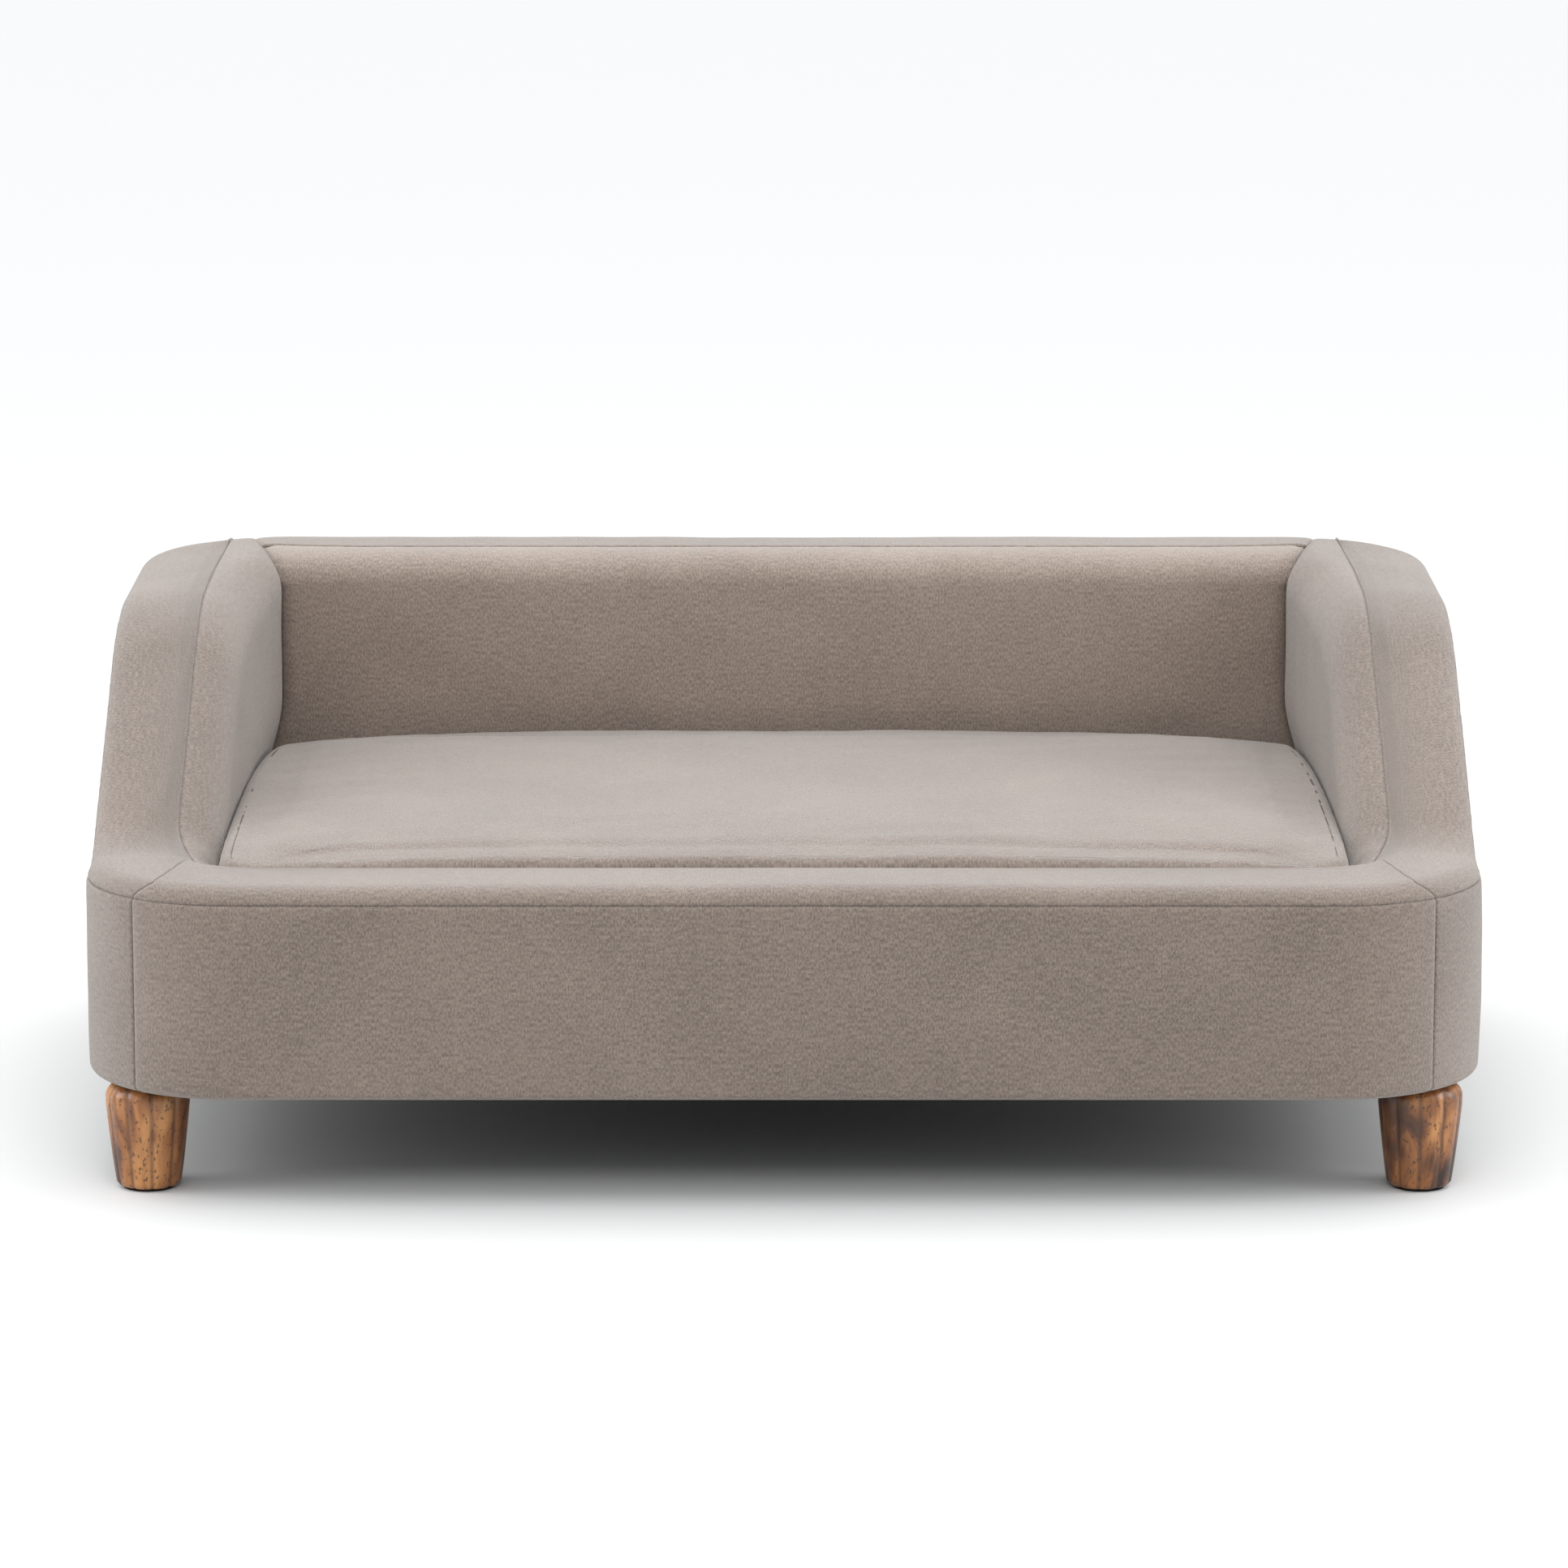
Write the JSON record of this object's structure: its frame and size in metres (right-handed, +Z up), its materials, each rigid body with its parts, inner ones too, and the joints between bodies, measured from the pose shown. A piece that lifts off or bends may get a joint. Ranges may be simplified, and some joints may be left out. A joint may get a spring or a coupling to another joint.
{
  "type": "pet sofa bed",
  "caption": "Raised dog bed: upholstered frame with a tall back, arms that slope to a low front, a loose zipped cushion and reeded wooden legs.",
  "frame": {"origin": "on the floor under the middle of the bed", "axes": "+Z up, the low front faces -Y, +X along the bed's width"},
  "size_m": [0.914, 0.61, 0.343],
  "materials": {
    "cover_fabric": "taupe velvety woven",
    "wood_leg": "dark stained, satin",
    "board": "raw plywood",
    "pine": "raw pine",
    "foam": "open-cell foam",
    "dust_cloth": "black non-woven",
    "felt": "pressed felt",
    "zip_cloth": "woven tape with nylon coil",
    "steel": "zinc plated"
  },
  "bodies": {
    "bed": {"front_board": "board", "back_board": "board", "side_board_left": "board", "side_board_right": "board", "corner_post_front_left": "pine", "corner_post_front_right": "pine", "corner_post_back_left": "pine", "corner_post_back_right": "pine", "front_batten": "pine", "back_batten": "pine", "side_batten_left": "pine", "side_batten_right": "pine", "centre_beam": "pine", "seat_deck": "board", "deck_screws": "steel", "frame_dowels": "pine", "leg_inserts": "steel", "hanger_bolts": "steel", "leg_front_left": "wood_leg", "leg_front_right": "wood_leg", "leg_back_left": "wood_leg", "leg_back_right": "wood_leg", "felt_pad_front_left": "felt", "felt_pad_front_right": "felt", "felt_pad_back_left": "felt", "felt_pad_back_right": "felt", "dust_cover": "dust_cloth", "dust_cover_staples": "steel", "front_foam_wrap": "foam", "side_foam_wrap_left": "foam", "side_foam_wrap_right": "foam", "back_foam_wrap": "foam", "front_foam_cap": "foam", "arm_foam_cap_left": "foam", "arm_foam_cap_right": "foam", "back_foam_cap": "foam", "front_inner_foam": "foam", "arm_inner_foam_left": "foam", "arm_inner_foam_right": "foam", "back_inner_foam": "foam", "front_cover": "cover_fabric", "side_cover_left": "cover_fabric", "side_cover_right": "cover_fabric", "back_cover": "cover_fabric", "front_top_strip": "cover_fabric", "arm_top_strip_left": "cover_fabric", "arm_top_strip_right": "cover_fabric", "back_top_strip": "cover_fabric", "front_inner_cover": "cover_fabric", "arm_inner_cover_left": "cover_fabric", "arm_inner_cover_right": "cover_fabric", "back_inner_cover": "cover_fabric", "deck_cloth": "dust_cloth"},
    "cushion": {"cushion_core": "foam", "cushion_cover": "cover_fabric", "zip_panel": "cover_fabric", "zip_tape": "zip_cloth"},
    "slider": {"zip_slider": "steel"},
    "pull": {"zip_pull": "steel"}
  },
  "joints": [
    {"name": "cushion_lift", "type": "slide", "parent": "bed", "child": "cushion", "axis": [0, 0, 1], "range_m": [0, 0.25]},
    {"name": "zip_slide", "type": "slide", "parent": "cushion", "child": "slider", "axis": [1, 0, 0], "range_m": [0, 0.57]},
    {"name": "zip_pull_swing", "type": "hinge", "parent": "slider", "child": "pull", "pos_m": [-0.285, 0.211, 0.18475], "axis": [0, 1, 0], "range_deg": [-85, 85]}
  ]
}
